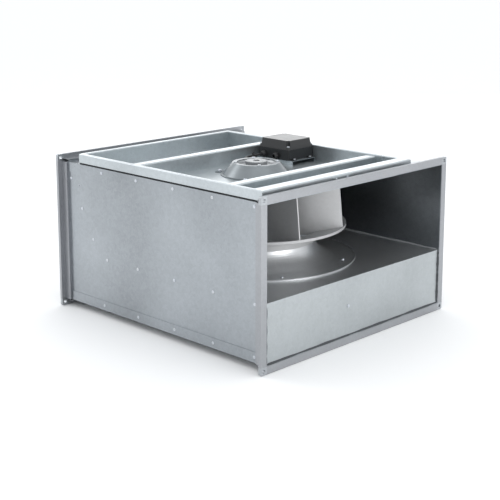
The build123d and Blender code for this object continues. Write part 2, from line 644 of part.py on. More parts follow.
def terminal_lid():
    """Box lid with slanted sides and a recessed screw at each corner."""
    draft = 5.0
    lid = box_block(BOX_SPLIT + 0.2, BOX_Z1, 0.0, draft)
    hollow = box_block(BOX_SPLIT, BOX_Z1 - BOX_WALL, BOX_WALL + 0.5, draft)
    lid -= hollow - lid_posts(7.0, BOX_SPLIT, BOX_Z1)
    return lid - lid_posts(5.0, LID_SCREW_Z, BOX_Z1 + 1) - lid_posts(2.3, BOX_SPLIT - 1, BOX_Z1)


def lid_posts(radius, z0, z1):
    return group(rod(radius, z0, z1, x, y) for x, y in box_corners())


def lid_screws():
    for x, y in box_corners():
        yield Pos(x, y, LID_SCREW_Z) * pan_screw(4.2, 2.8, 2.0, 18.0)


def box_screws():
    for x, y in lug_screw_places():
        yield Pos(x, y, BOX_Z0 + BOX_WALL) * pan_screw(3.8, 2.4, 2.0, 4.0)


def terminal_bracket():
    """Raised plate that carries the terminal box above the well floor."""
    x0, x1 = BOX_X - BOX_LX / 2 - 11, BOX_X + BOX_LX / 2 + 11
    y0, y1 = BOX_Y - 48.0, BOX_Y + 48.0
    plate = slab(x0, x1, y0, y1, BOX_Z0 - SKIN, BOX_Z0)
    for y in (y0, y1 - SKIN):
        plate += slab(x0, x1, y, y + SKIN, WELL_Z, BOX_Z0 - SKIN)
    return plate - group(rod(SCREW_HOLE_R, BOX_Z0 - 5, BOX_Z0 + 2, x, y) for x, y in lug_screw_places())


def terminal_block():
    """Row of terminal clamps on the box's floor."""
    x, y, z = BOX_X, BOX_Y + 10, BOX_Z0 + BOX_WALL
    block = slab(x - 30, x + 30, y - 10, y + 10, z, z + 15)
    for i in range(6):
        block -= rod(2.4, z + 6, z + 16, x - 25 + 10 * i, y)
        block -= slab(x - 29 + 10 * i, x - 21 + 10 * i, y - 11, y - 6, z + 2, z + 9)
    return block


# ---- the assembly ----
def casing_nodes():
    keep("right_side_panel", side_panel(-1))
    keep("left_side_panel", side_panel(1))
    keep("bottom_panel", bottom_panel())
    keep("top_panel", top_panel())
    for end, label in ((-1, "inlet"), (1, "outlet")):
        for edge in ("top", "bottom", "left", "right"):
            keep(f"{label}_flange_{edge}", flange_profile(end, edge))
        corners = [corner_bracket(end, j, k) for j in (-1, 1) for k in (-1, 1)]
        keep(f"{label}_corner_brackets", *corners)
    keep("partition_plate", partition_plate())
    keep("inlet_baffle", inlet_baffle())
    keep("outlet_baffle", outlet_baffle())
    keep("inlet_ring", inlet_ring())
    keep("sheet_screws", *sheet_screws())
    rivets = []
    for side in (-1, 1):
        rivets += [facing_y(x, z, side, rivet()) for x, z in strip_rivets()]
        rivets += [Pos(0, -side * SKIN, 0) * facing_y(x, z, side, rivet()) for x, z in plate_rivets()]
    keep("panel_rivets", *rivets)
    keep("cover_gasket", cover_gasket())


def cover_nodes():
    keep("cover_tray", cover_tray())
    keep("inlet_side_rib", tray_rib(RIB_X[0]))
    keep("outlet_side_rib", tray_rib(RIB_X[1]))
    keep("inlet_holddown_bracket", holddown_bracket(-1))
    keep("outlet_holddown_bracket", holddown_bracket(1))
    keep("holddown_screws", *holddown_screws())
    keep("motor_dome", motor_dome())
    lugs = [Pos(x, y, WELL_Z + SHEET_2) * hex_bolt(3.0, 6.0) for x, y, angle in lug_places()]
    keep("dome_bolts", *lugs)
    ring = [Pos(x, y, DOME_Z1) * pan_screw(4.6, 2.8, 2.5, 7.0) for x, y, angle in frame_screw_places()]
    keep("motor_flange_screws", *ring)
    keep("stator_flange", stator_flange())
    keep("stator_core", stator_core())
    keep("stator_winding", stator_winding())
    keep("motor_bearings", *motor_bearings())
    keep("terminal_bracket", terminal_bracket())
    keep("terminal_box_base", terminal_box_base())
    keep("terminal_block", terminal_block())
    keep("box_screws", *box_screws())
    keep("motor_lead", motor_lead())
    keep("lead_grommet", lead_grommet())
    keep("cable_glands", *cable_glands())


def rotor_nodes():
    keep("rotor_shell", rotor_shell())
    keep("rotor_shaft", rotor_shaft())
    keep("impeller_backplate", impeller_backplate())
    keep("impeller_shroud", impeller_shroud())
    space = blade_space()
    for i in range(BLADES):
        keep(f"impeller_blade_{i + 1}", impeller_blade(BLADE_FIRST + 360.0 * i / BLADES, space))
    bolts = [Pos(x, y, BACKPLATE_Z + SHEET_2) * hex_bolt(3.0, 9.0) for x, y, angle in hub_bolt_places()]
    keep("hub_bolts", *bolts)
    keep("balance_clips", *balance_clips())


def lid_nodes():
    keep("terminal_lid", terminal_lid())
    keep("lid_screws", *lid_screws())


casing_nodes()
cover_nodes()
rotor_nodes()
lid_nodes()

os.makedirs("parts", exist_ok=True)
for name, shape in NODES.items():
    export_step(shape, f"parts/{name}.step")
print(len(NODES), "nodes")
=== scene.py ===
from math import cos, pi, radians, sin

import bmesh
import bpy
from mathutils import Matrix, Vector


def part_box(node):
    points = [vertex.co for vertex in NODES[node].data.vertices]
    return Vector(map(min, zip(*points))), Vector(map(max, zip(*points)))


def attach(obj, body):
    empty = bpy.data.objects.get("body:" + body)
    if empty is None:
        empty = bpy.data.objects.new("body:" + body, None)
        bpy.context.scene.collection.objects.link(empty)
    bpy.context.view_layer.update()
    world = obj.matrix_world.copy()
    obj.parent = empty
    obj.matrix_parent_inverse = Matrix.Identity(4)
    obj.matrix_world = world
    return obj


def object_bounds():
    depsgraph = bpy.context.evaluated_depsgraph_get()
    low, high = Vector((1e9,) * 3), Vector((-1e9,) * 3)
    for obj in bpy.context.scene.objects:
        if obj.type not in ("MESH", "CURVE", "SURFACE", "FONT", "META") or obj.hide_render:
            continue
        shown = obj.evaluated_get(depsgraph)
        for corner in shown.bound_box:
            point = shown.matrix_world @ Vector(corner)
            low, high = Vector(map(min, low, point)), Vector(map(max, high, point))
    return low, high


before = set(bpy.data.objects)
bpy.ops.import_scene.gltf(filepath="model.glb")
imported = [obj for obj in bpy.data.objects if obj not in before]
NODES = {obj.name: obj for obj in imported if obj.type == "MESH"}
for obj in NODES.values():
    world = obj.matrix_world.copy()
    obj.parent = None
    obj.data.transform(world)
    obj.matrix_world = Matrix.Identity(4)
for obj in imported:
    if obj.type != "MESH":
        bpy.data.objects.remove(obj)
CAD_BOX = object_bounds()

bl_info = {
    "name": "Inline Duct Fan",
    "version": (1, 0, 0),
    "blender": (4, 5, 0),
    "location": "3D View > Sidebar > Duct Fan",
    "description": "Finishes, small parts and studio for a rectangular inline duct fan",
    "category": "Object",
}

# ---- places read from the frame, in metres ----
SHAFT_LOW, SHAFT_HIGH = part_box("rotor_shaft")
AXIS_X, AXIS_Y = (SHAFT_LOW.x + SHAFT_HIGH.x) / 2, (SHAFT_LOW.y + SHAFT_HIGH.y) / 2
PARTITION_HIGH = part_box("partition_plate")[1]
BAFFLE_LOW, BAFFLE_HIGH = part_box("outlet_baffle")
INCLINE_LOW, INCLINE_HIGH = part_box("inlet_baffle")
BLOCK_LOW, BLOCK_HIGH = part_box("terminal_block")
LEAD_LOW, LEAD_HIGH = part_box("motor_lead")
BACKPLATE_LOW, BACKPLATE_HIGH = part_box("impeller_backplate")


# ---- shader expressions ----
class Number:
    """A number in a shader; arithmetic on it adds Math nodes."""

    def __init__(self, look, socket):
        self.look, self.socket = look, socket

    def joined(self, operation, *terms):
        math = self.look.node("ShaderNodeMath", {"operation": operation}, dict(enumerate(terms)))
        return Number(self.look, math.outputs[0])

    def __add__(self, other):
        return self.joined("ADD", self, other)

    def __radd__(self, other):
        return self.joined("ADD", other, self)

    def __sub__(self, other):
        return self.joined("SUBTRACT", self, other)

    def __rsub__(self, other):
        return self.joined("SUBTRACT", other, self)

    def __mul__(self, other):
        return self.joined("MULTIPLY", self, other)

    def __rmul__(self, other):
        return self.joined("MULTIPLY", other, self)

    def __truediv__(self, other):
        return self.joined("DIVIDE", self, other)

    def __pow__(self, other):
        return self.joined("POWER", self, other)

    def wave(self):
        return self.joined("SINE", self)


class Look:
    """A procedural material being made, with the surface's place in the frame as x, y and z."""

    def __init__(self, name):
        self.material = bpy.data.materials.new(name)
        self.material.use_nodes = True
        self.tree = self.material.node_tree
        self.tree.nodes.clear()
        self.place = self.node("ShaderNodeTexCoord").outputs["Object"]
        axes = self.node("ShaderNodeSeparateXYZ", {}, {"Vector": self.place}).outputs
        self.x, self.y, self.z = (Number(self, axes[i]) for i in range(3))

    def node(self, kind, settings=None, sockets=None):
        """Adds a node: its settings first, then the values or links of its sockets."""
        made = self.tree.nodes.new(kind)
        for key, value in (settings or {}).items():
            setattr(made, key, value)
        for key, value in (sockets or {}).items():
            value = value.socket if isinstance(value, Number) else value
            if isinstance(value, bpy.types.NodeSocket):
                self.tree.links.new(value, made.inputs[key])
            else:
                made.inputs[key].default_value = value
        return made

    def stretched(self, along):
        """The place, scaled on each axis."""
        made = self.node("ShaderNodeVectorMath", {"operation": "MULTIPLY"}, {0: self.place, 1: along})
        return made.outputs[0]

    def clouds(self, scale, detail, along=None):
        """Soft noise about zero, within half a unit; along scales the place on each axis first."""
        place = self.stretched(along) if along else self.place
        made = self.node("ShaderNodeTexNoise", {}, {"Vector": place, "Scale": scale, "Detail": detail})
        return Number(self, made.outputs["Fac"]) - 0.5

    def spangle(self, size):
        """Zinc crystals: a random number about zero in each cell of that size."""
        cells = self.node("ShaderNodeTexVoronoi", {}, {
            "Vector": self.place, "Scale": 1.0 / size, "Randomness": 1.0,
        })
        parts = self.node("ShaderNodeSeparateColor", {}, {"Color": cells.outputs["Color"]})
        return Number(self, parts.outputs[0]) - 0.5

    def radius(self):
        """Distance from the motor axis."""
        return ((self.x - AXIS_X) ** 2.0 + (self.y - AXIS_Y) ** 2.0) ** 0.5

    def turning(self, pitch):
        """Fine turning lines round the motor axis, about zero."""
        where = self.node("ShaderNodeCombineXYZ", {}, {0: self.radius() / pitch, 1: self.z / pitch})
        made = self.node("ShaderNodeTexNoise", {}, {
            "Vector": where.outputs[0], "Scale": 1.0, "Detail": 3.0, "Roughness": 0.6,
        })
        return Number(self, made.outputs["Fac"]) - 0.5

    def tinted(self, colour, shade):
        """A colour made lighter or darker by a number about zero."""
        made = self.node("ShaderNodeVectorMath", {"operation": "SCALE"}, {
            0: tuple(colour), "Scale": 1.0 + shade,
        })
        return made.outputs[0]

    def blended(self, share, low, high):
        """Between two colours by a number from 0 to 1."""
        mix = self.node("ShaderNodeMix", {"data_type": "RGBA"}, {0: share, 6: (*low, 1), 7: (*high, 1)})
        return mix.outputs[2]

    def raised(self, height, distance):
        """A surface normal raised by a number, with the distance in metres."""
        return self.node("ShaderNodeBump", {}, {"Height": height, "Distance": distance}).outputs[0]

    def finished(self, colour, roughness, normal=None, **fixed):
        """Adds the shader; fixed holds its even values, with spaces written as underscores."""
        shader = self.node("ShaderNodeBsdfPrincipled", {}, {
            "Base Color": colour, "Roughness": roughness,
        })
        for key, value in fixed.items():
            shader.inputs[key.replace("_", " ")].default_value = value
        if normal is not None:
            self.tree.links.new(normal, shader.inputs["Normal"])
        self.node("ShaderNodeOutputMaterial", {}, {"Surface": shader.outputs[0]})
        return self.material


# ---- finishes ----
def zinc_sheet(name, colour, roughness, cloud, crystal, streak=None, metal=1.0):
    """Hot-dip galvanised sheet: crystals, soft clouds, rolling streaks, and a slight waviness; the broad
    clouds in the colour are partly the sheet's own mottle and partly a painted reflection gradient.
    """
    look = Look(name)
    grain, fine = look.spangle(0.009), look.spangle(0.0035)
    broad_mottle_and_reflection, near = look.clouds(2.4, 2.0), look.clouds(7.0, 3.0)
    # The broad clouds, five times stronger than the near ones, paint broad reflection gradients on top
    # of the sheet's own mottle.
    shade = broad_mottle_and_reflection * (cloud * 5.0) + near * cloud + grain * crystal + fine * (crystal * 0.8)
    if streak:
        shade = shade + look.clouds(1.0, 3.0, streak) * 0.16
    rough = roughness + look.clouds(11.0, 3.0) * 0.12 + grain * 0.05
    height = look.clouds(3.2, 1.0) + look.clouds(420.0, 2.0) * 0.012 + grain * 0.006
    normal = look.raised(height, 0.0004)
    return look.finished(look.tinted(colour, shade), rough, normal, Metallic=metal)


def rolled_profile(name, colour):
    """Roll-formed galvanised profile: lines left by the rollers along the bar."""
    look = Look(name)
    lines = look.clouds(1.0, 3.0, (900.0, 5.0, 5.0))
    shade = lines * 0.12 + look.clouds(9.0, 3.0) * 0.14 + look.spangle(0.006) * 0.05
    rough = 0.40 + look.clouds(14.0, 3.0) * 0.14 + lines * 0.06
    normal = look.raised(lines * 0.08 + look.clouds(260.0, 2.0) * 0.05, 0.0003)
    return look.finished(look.tinted(colour, shade), rough, normal, Metallic=1.0)


def spun_sheet(name, colour, roughness, pitch, cut, metal=1.0):
    """Sheet spun on a lathe: fine rings round the motor axis."""
    look = Look(name)
    lines = look.turning(pitch)
    shade = lines * cut + look.clouds(9.0, 3.0) * 0.12 + look.spangle(0.008) * 0.04
    rough = roughness + look.clouds(12.0, 2.0) * 0.10 + lines * 0.10
    normal = look.raised(lines * 0.5 + look.clouds(5.0, 1.0), 0.0002)
    return look.finished(look.tinted(colour, shade), rough, normal, Metallic=metal)


def bright_zinc(name, colour):
    """Electroplated fastener: small tumbled marks and a faint blue-yellow passivation."""
    look = Look(name)
    marks = look.clouds(900.0, 3.0)
    warm = look.clouds(60.0, 1.0) * 1.6 + 0.5
    base = look.blended(warm, tuple(c * f for c, f in zip(colour, (0.94, 0.98, 1.06))), colour)
    rough = 0.30 + marks * 0.2
    return look.finished(base, rough, look.raised(marks, 0.00005), Metallic=1.0)


def cast_metal(name, colour, roughness, grit):
    """Die-cast or machined metal with a fine grain."""
    look = Look(name)
    grain = look.clouds(700.0, 3.0)
    shade = grain * 0.16 + look.clouds(25.0, 3.0) * 0.2
    rough = roughness + look.clouds(60.0, 2.0) * 0.16
    return look.finished(look.tinted(colour, shade), rough, look.raised(grain, grit), Metallic=1.0)


def stacked_steel(name, colour):
    """Edges of thin punched sheets, stacked along the motor axis."""
    look, sheet = Look(name), 0.0007
    seam = (look.z * (2 * pi / sheet)).wave()
    shade = seam * 0.25 + look.clouds(120.0, 2.0) * 0.3
    rough = 0.5 + look.clouds(80.0, 2.0) * 0.2
    return look.finished(look.tinted(colour, shade), rough, look.raised(seam, 0.00008), Metallic=1.0)


def wound_copper(name, colour):
    """Enamelled wire wound in layers, under a skin of varnish."""
    look, pitch = Look(name), 0.0011
    turns = ((look.radius() * 0.6 + look.z) * (2 * pi / pitch)).wave()
    shade = turns * 0.3 + look.clouds(150.0, 2.0) * 0.5
    rough = 0.34 + look.clouds(90.0, 2.0) * 0.2
    return look.finished(look.tinted(colour, shade), rough, look.raised(turns, 0.0003), Metallic=0.7,
                         Coat_Weight=0.5, Coat_Roughness=0.2)


def moulded_plastic(name, colour, roughness, grain=0.00005, scale=1500.0):
    """Moulded plastic with a fine spark-eroded grain and slight flow marks."""
    look = Look(name)
    pits = look.clouds(scale, 2.0)
    shade = look.clouds(30.0, 3.0) * 0.25 + pits * 0.12
    rough = roughness + look.clouds(45.0, 3.0) * 0.12 + pits * 0.08
    return look.finished(look.tinted(colour, shade), rough, look.raised(pits, grain), Metallic=0.0)


def soft_rubber(name, colour):
    """Foam or rubber with open cells and a matt face."""
    look, cell, depth = Look(name), 0.0011, 0.0003
    cells = look.node("ShaderNodeTexVoronoi", {}, {"Vector": look.place, "Scale": 1.0 / cell})
    pits = Number(look, cells.outputs["Distance"])
    shade = pits * 0.5 - 0.2 + look.clouds(40.0, 2.0) * 0.2
    return look.finished(look.tinted(colour, shade), 0.86 - pits * 0.1, look.raised(pits, depth))


def mastic(name, colour):
    """Joint sealant with a slightly lumpy skin."""
    look = Look(name)
    lumps = look.clouds(180.0, 2.0)
    normal = look.raised(lumps, 0.0006)
    return look.finished(look.tinted(colour, lumps * 0.3), 0.55 + lumps * 0.2, normal)


# ---- mesh helpers ----
def piece(name, build, body, material, sharp=35.0):
    """Makes one object from a bmesh builder and hangs it on its body."""
    mesh = bpy.data.meshes.new(name)
    shape = bmesh.new()
    build(shape)
    bmesh.ops.recalc_face_normals(shape, faces=shape.faces)
    shape.to_mesh(mesh)
    shape.free()
    mesh.polygons.foreach_set("use_smooth", [True] * len(mesh.polygons))
    mesh.set_sharp_from_angle(angle=radians(sharp))
    mesh.materials.append(material)
    made = bpy.data.objects.new(name, mesh)
    bpy.context.scene.collection.objects.link(made)
    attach(made, body)
    return made


def loft(shape, rings, closed=False):
    """Skins a list of equal rings of points, with flat ends unless it closes on itself."""
    rows = [[shape.verts.new(p) for p in ring] for ring in rings]
    count = len(rows[0])
    pairs = list(zip(rows, rows[1:]))
    if closed:
        pairs.append((rows[-1], rows[0]))
    for low, high in pairs:
        for i in range(count):
            shape.faces.new((low[i], low[(i + 1) % count], high[(i + 1) % count], high[i]))
    if not closed:
        shape.faces.new(rows[0][::-1])
        shape.faces.new(rows[-1])


def turned(shape, profile, place, sides=20):
    """A turned knob: (radius, height) points from the foot up, closed at both ends."""
    rings = []
    for radius, height in profile:
        turn = [2 * pi * i / sides for i in range(sides)]
        rings.append([place @ Vector((radius * cos(a), radius * sin(a), height)) for a in turn])
    loft(shape, rings)


def domed(radius, height, sink=0.0006):
    """Profile of a rivet or screw head that starts a little inside its sheet."""
    arc = [(radius * cos(radians(a)), height * sin(radians(a))) for a in (0, 25, 50, 72)]
    return [(radius, -sink), *arc, (radius * 0.12, height)]


def facing(point, direction):
    """Placement that turns +Z to a direction at a point."""
    return Matrix.Translation(point) @ Vector(direction).to_track_quat("Z", "Y").to_matrix().to_4x4()


def scene_colours():
    return bpy.context.scene.fan_colours


def scene_sizes():
    return bpy.context.scene.fan_sizes


def paint(slot, material):
    """Gives one finish to every CAD node of a slot."""
    found = [node for node in NODES.values() if node.data.materials[0].name == slot]
    if not found:
        raise RuntimeError(f"no node takes its finish from {slot}")
    for node in found:
        node.material_slots[0].material = material


# ---- settings ----
def tone(name, description, default):
    return bpy.props.FloatVectorProperty(
        name=name, description=description, default=default, subtype="COLOR", min=0.0, max=1.0,
    )


def length(name, description, default):
    return bpy.props.FloatProperty(
        name=name, description=description, default=default, unit="LENGTH", min=0.0, precision=4,
    )


class FanColours(bpy.types.PropertyGroup):
    """Colours of the fan's finishes"""

    casing: tone("Casing", "Galvanised sheet of the casing panels", (0.352, 0.376, 0.398))
    profile: tone("Flange", "Roll-formed flange profiles", (0.380, 0.390, 0.408))
    corner: tone("Corners", "Pressed corner plates of the flanges", (0.440, 0.460, 0.480))
    cover: tone("Cover", "Sheet of the sunken top cover", (0.520, 0.560, 0.580))
    inner: tone("Partition", "Sheet of the partition and the inlet baffle", (0.420, 0.430, 0.440))
    baffle: tone("Outlet baffle", "Sheet of the baffle under the outlet", (0.440, 0.468, 0.480))
    impeller: tone("Impeller", "Sheet of the impeller", (0.470, 0.472, 0.476))
    ring: tone("Inlet ring", "Spun sheet of the inlet ring", (0.620, 0.630, 0.640))
    dome: tone("Motor dome", "Pressed carrier over the motor", (0.230, 0.250, 0.262))
    zinc: tone("Fasteners", "Zinc-plated screws, bolts and rivets", (0.640, 0.650, 0.660))
    box: tone("Terminal box", "Black moulded plastic", (0.014, 0.015, 0.016))
    sealant: tone("Sealant", "Joint sealant", (0.300, 0.310, 0.320))
    # Near black: the bead round the outlet baffle is real geometry, but its colour paints the shadow
    # line of the gap round the baffle.
    painted_shadow_bead: tone("Baffle bead, painted shadow", "Near-black bead round the outlet baffle, a painted shadow of its gap", (0.045, 0.050, 0.055))


class FanSizes(bpy.types.PropertyGroup):
    """Sizes of the fan's small parts"""

    bead: length("Sealant bead", "Leg of the bead along each inside joint", 0.0035)
    rivet: length("Blade rivet", "Radius of the rivet heads on the impeller", 0.0032)
    wire: length("Wire", "Radius of the wires in the terminal box", 0.0011)
    tie: length("Cable tie", "Width of the tie on the motor lead", 0.0028)


class FanStudio(bpy.types.PropertyGroup):
    """Camera and lights"""

    azimuth: bpy.props.FloatProperty(
        name="Azimuth", description="Camera's turn about the fan", default=radians(44.53),
        subtype="ANGLE")
    elevation: bpy.props.FloatProperty(
        name="Elevation", description="Camera's tilt down", default=radians(11.31), subtype="ANGLE")
    height: length("Aim height", "Height of the flanges' middle", 0.22)
    distance: length("Distance", "From the flanges' middle to the camera", 3.225)
    lens: bpy.props.FloatProperty(name="Lens", description="Focal length in millimetres", default=82.2)
    daylight: bpy.props.FloatProperty(
        name="Surround", description="Strength of the even light", default=1.1)


# ---- finishes, one operator for each group ----
class FAN_OT_casing_finish(bpy.types.Operator):
    """Galvanised casing, flange profiles, corner plates and brackets"""

    bl_idname = "fan.casing_finish"
    bl_label = "Casing finish"

    def execute(self, context):
        colours = scene_colours()
        paint("galvanised_sheet", zinc_sheet("casing_zinc", colours.casing, 0.32, 0.17, 0.09))
        paint("flange_profile", rolled_profile("rolled_flange", colours.profile))
        paint("corner_bracket", zinc_sheet("pressed_corner", colours.corner, 0.38, 0.12, 0.08))
        paint("bracket_sheet", zinc_sheet("bracket_zinc", colours.cover, 0.34, 0.1, 0.06))
        return {"FINISHED"}


class FAN_OT_air_path_finish(bpy.types.Operator):
    """Partition, baffles, inlet ring and impeller"""

    bl_idname = "fan.air_path_finish"
    bl_label = "Air path finish"

    def execute(self, context):
        colours = scene_colours()
        paint("inner_sheet", zinc_sheet("partition_zinc", colours.inner, 0.36, 0.12, 0.05, metal=0.8))
        upright = zinc_sheet("baffle_zinc", colours.baffle, 0.36, 0.10, 0.06, (14.0, 14.0, 1.2))
        paint("baffle_sheet", upright)
        paint("spun_sheet", spun_sheet("spun_ring", colours.ring, 0.36, 0.0016, 0.16, 0.85))
        paint("impeller_sheet", spun_sheet("impeller_satin", colours.impeller, 0.46, 0.0022, 0.14, 0.4))
        return {"FINISHED"}


class FAN_OT_cover_finish(bpy.types.Operator):
    """Sunken cover, motor dome, fasteners and seals"""

    bl_idname = "fan.cover_finish"
    bl_label = "Cover finish"

    def execute(self, context):
        colours = scene_colours()
        paint("cover_sheet", zinc_sheet("cover_zinc", colours.cover, 0.32, 0.10, 0.07, metal=0.85))
        paint("dome_sheet", spun_sheet("dome_satin", colours.dome, 0.34, 0.0018, 0.08))
        paint("zinc_fastener", bright_zinc("plated_zinc", colours.zinc))
        paint("foam_seal", soft_rubber("seal_foam", (0.018, 0.018, 0.019)))
        paint("rubber_grommet", moulded_plastic("grommet_rubber", (0.014, 0.014, 0.015), 0.62))
        return {"FINISHED"}


class FAN_OT_motor_finish(bpy.types.Operator):
    """Rotor, stator, winding and bearings"""

    bl_idname = "fan.motor_finish"
    bl_label = "Motor finish"

    def execute(self, context):
        paint("motor_casting", cast_metal("stator_casting", (0.36, 0.37, 0.38), 0.42, 0.00008))
        paint("rotor_casting", cast_metal("rotor_casting_black", (0.060, 0.062, 0.066), 0.46, 0.0001))
        paint("lamination_steel", stacked_steel("stacked_laminations", (0.30, 0.30, 0.31)))
        paint("copper_winding", wound_copper("wound_wire", (0.55, 0.22, 0.09)))
        paint("bearing_steel", cast_metal("ground_steel", (0.55, 0.55, 0.56), 0.2, 0.00001))
        return {"FINISHED"}


class FAN_OT_electrical_finish(bpy.types.Operator):
    """Terminal box, lid, glands, terminal block and lead"""

    bl_idname = "fan.electrical_finish"
    bl_label = "Electrical finish"

    def execute(self, context):
        colours = scene_colours()
        paint("box_plastic", moulded_plastic("box_black", colours.box, 0.34))
        paint("lid_plastic", moulded_plastic("lid_black", colours.box, 0.32, 0.00003))
        paint("gland_plastic", moulded_plastic("gland_black", (0.016, 0.016, 0.017), 0.4))
        paint("terminal_plastic", moulded_plastic("terminal_ivory", (0.62, 0.60, 0.54), 0.4))
        sheath = moulded_plastic("sheath_black", (0.016, 0.016, 0.017), 0.48, 0.00004, 900.0)
        paint("lead_sheath", sheath)
        return {"FINISHED"}


# ---- small parts ----
class FAN_OT_sealant_beads(bpy.types.Operator):
    """Beads of joint sealant along the partition, the baffles and the side panels; the bead round the
    outlet baffle is near black to paint the shadow in the gap there.
    """

    bl_idname = "fan.sealant_beads"
    bl_label = "Sealant beads"

    def execute(self, context):
        colours, leg = scene_colours(), scene_sizes().bead
        sink, spacing = 0.0004, 0.008  # start inside the sheets, and distance between cross-sections
        end_width, end_growth = 0.35, 75.0  # share of the full width at an end, and its growth per metre
        hollow = [(1 - 0.82 * sin(a), 1 - 0.82 * cos(a)) for a in map(radians, (0, 30, 60, 90))]

        def bead(shape, start, end, across, up, phase):
            """A hollow fillet from start to end, its width swelling and thinning."""
            start, end, across, up = Vector(start), Vector(end), Vector(across), Vector(up)
            span = (end - start).length
            count = max(12, int(span / spacing))
            rings = []
            for i in range(count + 1):
                t = i / count
                swell = 1.0 + 0.16 * sin(23.0 * t + phase) + 0.10 * sin(61.0 * t + 2.3 * phase)
                swell *= min(1.0, end_width + end_growth * min(t, 1 - t) * span)
                width, corner = leg * swell, start.lerp(end, t)
                outer = [corner + across * width * u + up * width * v for u, v in hollow]
                rings.append([corner - (across + up) * sink, corner - up * sink + across * width, *outer,
                              corner - across * sink + up * width])
            loft(shape, rings)

        side_y = PARTITION_HIGH.y
        floor_z = PARTITION_HIGH.z
        front_x = BAFFLE_HIGH.x

        past_foot, top_flange, below_top = 0.004, 0.0245, 0.002  # at the inclined baffle's two ends
        off_incline = (0.86, 0, 0.51)

        def along_partition(shape):
            for side in (-1, 1):
                y, inward = side * side_y, (0, -side, 0)
                bead(shape, (INCLINE_HIGH.x + past_foot, y, floor_z),
                     (PARTITION_HIGH.x, y, floor_z), inward, (0, 0, 1), 1.0 + side)
                bead(shape, (INCLINE_HIGH.x, y, floor_z),
                     (INCLINE_LOW.x + top_flange, y, INCLINE_HIGH.z - below_top), inward,
                     off_incline, 4.0 + side)

        def round_baffle(shape):
            for side in (-1, 1):
                y = side * side_y
                bead(shape, (front_x, y, BAFFLE_LOW.z), (front_x, y, BAFFLE_HIGH.z),
                     (0, -side, 0), (1, 0, 0), 2.0 + side)
            bead(shape, (front_x, -side_y, BAFFLE_LOW.z), (front_x, side_y, BAFFLE_LOW.z),
                 (1, 0, 0), (0, 0, 1), 0.4)

        light = mastic("joint_sealant", colours.sealant)
        # The baffle bead's near-black colour is a painted shadow of the gap round the outlet baffle.
        dark = mastic("baffle_bead_painted_shadow", colours.painted_shadow_bead)
        piece("joint_sealant", along_partition, "casing", light, 60.0)
        piece("baffle_bead_painted_shadow", round_baffle, "casing", dark, 60.0)
        return {"FINISHED"}


class FAN_OT_blade_rivets(bpy.types.Operator):
    """Rivets that hold each blade's tabs to the backplate"""

    bl_idname = "fan.blade_rivets"
    bl_label = "Blade rivets"

    def execute(self, context):
        material = bpy.data.materials["plated_zinc"]
        head = scene_sizes().rivet
        blades = [n for n in sorted(NODES) if n.startswith("impeller_blade_")]
        axis = Vector((AXIS_X, AXIS_Y, 0))
        top_edge = BACKPLATE_LOW.z - 0.0004

        def on_blade(name, share):
            """A point on a blade's middle line, by its share of the way from root to tip."""
            points = [v.co for v in NODES[name].data.vertices if v.co.z > top_edge]
            reach = sorted(((p - axis).xy.length, p.x, p.y) for p in points)
            low, high = reach[0][0], reach[-1][0]
            wanted = low + share * (high - low)
            near = sorted(reach, key=lambda r: abs(r[0] - wanted))[:2]
            return Vector((sum(r[1] for r in near) / 2, sum(r[2] for r in near) / 2, 0))

        def build(shape):
            for name in blades:
                for share in (0.16, 0.5, 0.84):
                    spot = on_blade(name, share)
                    spot.z = BACKPLATE_HIGH.z
                    turned(shape, domed(head, head * 0.45), facing(spot, (0, 0, 1)), 16)

        piece("blade_rivets", build, "rotor", material)
        return {"FINISHED"}


class FAN_OT_lead_tie(bpy.types.Operator):
    """Cable tie on the motor lead, with its head and cut tail"""

    bl_idname = "fan.lead_tie"
    bl_label = "Cable tie"

    def execute(self, context):
        material = moulded_plastic("tie_nylon", (0.020, 0.020, 0.021), 0.5)
        width = scene_sizes().tie
        radius = (LEAD_HIGH.z - LEAD_LOW.z) / 2
        tie_y = (LEAD_LOW.y + LEAD_HIGH.y) * 0.62
        centre = Vector((LEAD_LOW.x + radius, tie_y, (LEAD_HIGH.z + LEAD_LOW.z) / 2))
        sides, sink, edge, crown = 28, 0.0002, 0.0011, 0.0013
        half = width / 2
        section = ((-sink, -half), (edge, -half), (crown, 0), (edge, half), (-sink, half))
        head = (0.0026, 0.0026, 0.0, 0.0036)  # half length, half width, foot and top
        tail = (0.0007, width * 0.42, 0.003, 0.0062)
        foot_sink, chamfer = 0.0006, 0.0005

        def band(shape):
            rings = []
            for i in range(sides):
                a = 2 * pi * i / sides
                out = Vector((cos(a), 0, sin(a)))
                rings.append([centre + out * (radius + r) + Vector((0, y, 0)) for r, y in section])
            loft(shape, rings, True)

        def block(shape):
            low = centre + Vector((0, 0, radius + foot_sink))
            for dx, dy, z0, z1 in (head, tail):
                rings = []
                for z, cut in ((z0, 0.0), (z1 - chamfer, 0.0), (z1, chamfer)):
                    rings.append([low + Vector((i * (dx - cut), j * (dy - cut), z)) for i, j in (
                        (-1, -1), (1, -1), (1, 1), (-1, 1))])
                loft(shape, rings)

        piece("lead_tie_band", band, "fan_unit", material)
        piece("lead_tie_head", block, "fan_unit", material)
        return {"FINISHED"}


